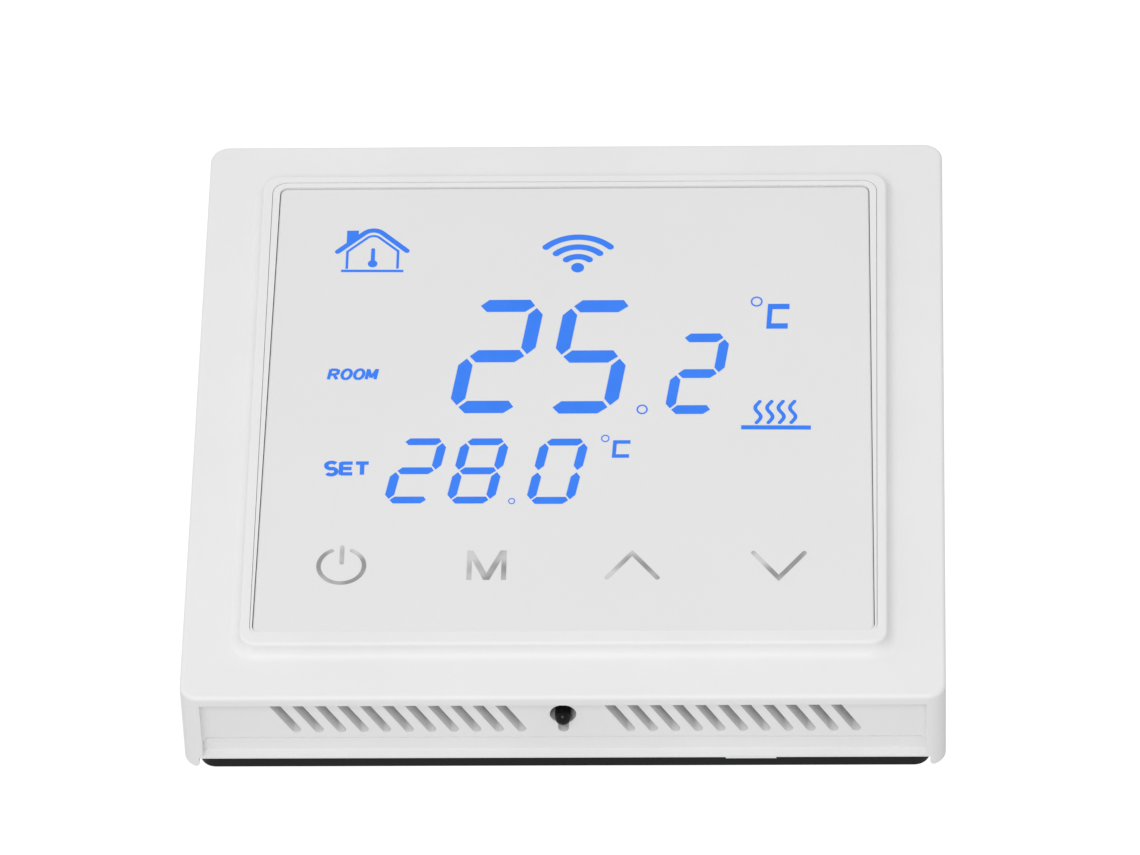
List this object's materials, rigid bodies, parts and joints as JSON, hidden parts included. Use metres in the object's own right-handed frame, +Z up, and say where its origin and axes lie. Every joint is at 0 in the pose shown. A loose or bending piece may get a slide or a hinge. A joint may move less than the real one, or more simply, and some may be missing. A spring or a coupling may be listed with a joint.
{
  "type": "wall thermostat",
  "caption": "Square wall thermostat: flush touch display in a raised ring, slotted underside with temperature probe, clip-on mounting plate and in-wall box.",
  "frame": {"origin": "middle of the back of the mounting plate, on the wall's surface, half-way between the two wall-screw slots", "axes": "+X to the right seen from the room, +Y into the wall, +Z up"},
  "size_m": [0.086, 0.0363, 0.086],
  "materials": {
    "white_shell": "fine matt moulded ABS, white",
    "panel_glass": "smooth light-grey touch panel, printed from behind",
    "display_blue": "lit blue display symbols",
    "icon_silver": "printed silver-grey key symbols",
    "lcd_glass": "smooth",
    "white_film": "satin film",
    "clear_acrylic": "polished acrylic",
    "led_package": "LED package",
    "grey_rubber": "layered elastomer",
    "spring_steel": "plated spring wire",
    "board_green": "solder mask",
    "zinc_steel": "zinc plated",
    "chip_black": "moulded epoxy",
    "tin_shield": "tinned sheet",
    "probe_epoxy": "glossy black epoxy",
    "lead_black": "wire insulation",
    "socket_black": "moulded nylon",
    "plate_black": "black, fine grain",
    "housing_white": "moulded flame-retardant plastic",
    "cover_white": "sheet plastic",
    "relay_blue": "moulded case",
    "capacitor_yellow": "moulded case",
    "capacitor_can": "sleeved can",
    "fuse_brown": "moulded case",
    "varistor_blue": "dipped coating",
    "brass_pin": "plated",
    "terminal_green": "moulded nylon"
  },
  "bodies": {
    "base": {"mounting_plate": "plate_black", "rear_housing": "housing_white", "insulating_cover": "cover_white", "power_board": "board_green", "power_board_screws": "zinc_steel", "housing_screws": "zinc_steel", "relay": "relay_blue", "supply_module": "chip_black", "film_capacitor": "capacitor_yellow", "filter_capacitor": "capacitor_can", "fuse": "fuse_brown", "varistor": "varistor_blue", "header_pins": "brass_pin", "terminal_block": "terminal_green", "terminal_contacts": "brass_pin"},
    "face": {"front_frame": "white_shell", "display_carrier": "white_shell", "touch_glass": "panel_glass", "lcd_panel": "lcd_glass", "diffuser_film": "white_film", "light_guide": "clear_acrylic", "reflector_film": "white_film", "backlight_leds": "led_package", "zebra_strip": "grey_rubber", "touch_springs": "spring_steel", "control_board": "board_green", "board_screws": "zinc_steel", "main_chip": "chip_black", "memory_chip": "chip_black", "radio_board": "board_green", "radio_shield": "tin_shield", "beeper": "chip_black", "clock_crystal": "tin_shield", "chip_parts": "chip_black", "probe_bead": "probe_epoxy", "probe_sleeve": "probe_epoxy", "probe_leads": "lead_black", "header_socket": "socket_black"},
    "screw_1": {"terminal_screw_1": "zinc_steel"},
    "clamp_1": {"terminal_clamp_1": "zinc_steel"},
    "screw_2": {"terminal_screw_2": "zinc_steel"},
    "clamp_2": {"terminal_clamp_2": "zinc_steel"},
    "screw_3": {"terminal_screw_3": "zinc_steel"},
    "clamp_3": {"terminal_clamp_3": "zinc_steel"},
    "screw_4": {"terminal_screw_4": "zinc_steel"},
    "clamp_4": {"terminal_clamp_4": "zinc_steel"},
    "screw_5": {"terminal_screw_5": "zinc_steel"},
    "clamp_5": {"terminal_clamp_5": "zinc_steel"},
    "screw_6": {"terminal_screw_6": "zinc_steel"},
    "clamp_6": {"terminal_clamp_6": "zinc_steel"}
  },
  "joints": [
    {"name": "face_release", "type": "slide", "parent": "base", "child": "face", "axis": [0, -1, 0], "range_m": [0, 0.03]},
    {"name": "terminal_1_turn", "type": "hinge", "parent": "base", "child": "screw_1", "pos_m": [-0.018, 0.02, -0.0165], "axis": [0, -1, 0], "range_deg": [0, 936.2]},
    {"name": "terminal_1_clamp", "type": "slide", "parent": "base", "child": "clamp_1", "axis": [0, 1, 0], "range_m": [0, 0.0013]},
    {"name": "terminal_2_turn", "type": "hinge", "parent": "base", "child": "screw_2", "pos_m": [-0.0108, 0.02, -0.0165], "axis": [0, -1, 0], "range_deg": [0, 936.2]},
    {"name": "terminal_2_clamp", "type": "slide", "parent": "base", "child": "clamp_2", "axis": [0, 1, 0], "range_m": [0, 0.0013]},
    {"name": "terminal_3_turn", "type": "hinge", "parent": "base", "child": "screw_3", "pos_m": [-0.0036, 0.02, -0.0165], "axis": [0, -1, 0], "range_deg": [0, 936.2]},
    {"name": "terminal_3_clamp", "type": "slide", "parent": "base", "child": "clamp_3", "axis": [0, 1, 0], "range_m": [0, 0.0013]},
    {"name": "terminal_4_turn", "type": "hinge", "parent": "base", "child": "screw_4", "pos_m": [0.0036, 0.02, -0.0165], "axis": [0, -1, 0], "range_deg": [0, 936.2]},
    {"name": "terminal_4_clamp", "type": "slide", "parent": "base", "child": "clamp_4", "axis": [0, 1, 0], "range_m": [0, 0.0013]},
    {"name": "terminal_5_turn", "type": "hinge", "parent": "base", "child": "screw_5", "pos_m": [0.0108, 0.02, -0.0165], "axis": [0, -1, 0], "range_deg": [0, 936.2]},
    {"name": "terminal_5_clamp", "type": "slide", "parent": "base", "child": "clamp_5", "axis": [0, 1, 0], "range_m": [0, 0.0013]},
    {"name": "terminal_6_turn", "type": "hinge", "parent": "base", "child": "screw_6", "pos_m": [0.018, 0.02, -0.0165], "axis": [0, -1, 0], "range_deg": [0, 936.2]},
    {"name": "terminal_6_clamp", "type": "slide", "parent": "base", "child": "clamp_6", "axis": [0, 1, 0], "range_m": [0, 0.0013]}
  ],
  "couplings": [
    {"joint": "terminal_1_turn", "follows": "terminal_1_clamp", "rad_per_m": 12566},
    {"joint": "terminal_2_turn", "follows": "terminal_2_clamp", "rad_per_m": 12566},
    {"joint": "terminal_3_turn", "follows": "terminal_3_clamp", "rad_per_m": 12566},
    {"joint": "terminal_4_turn", "follows": "terminal_4_clamp", "rad_per_m": 12566},
    {"joint": "terminal_5_turn", "follows": "terminal_5_clamp", "rad_per_m": 12566},
    {"joint": "terminal_6_turn", "follows": "terminal_6_clamp", "rad_per_m": 12566}
  ]
}
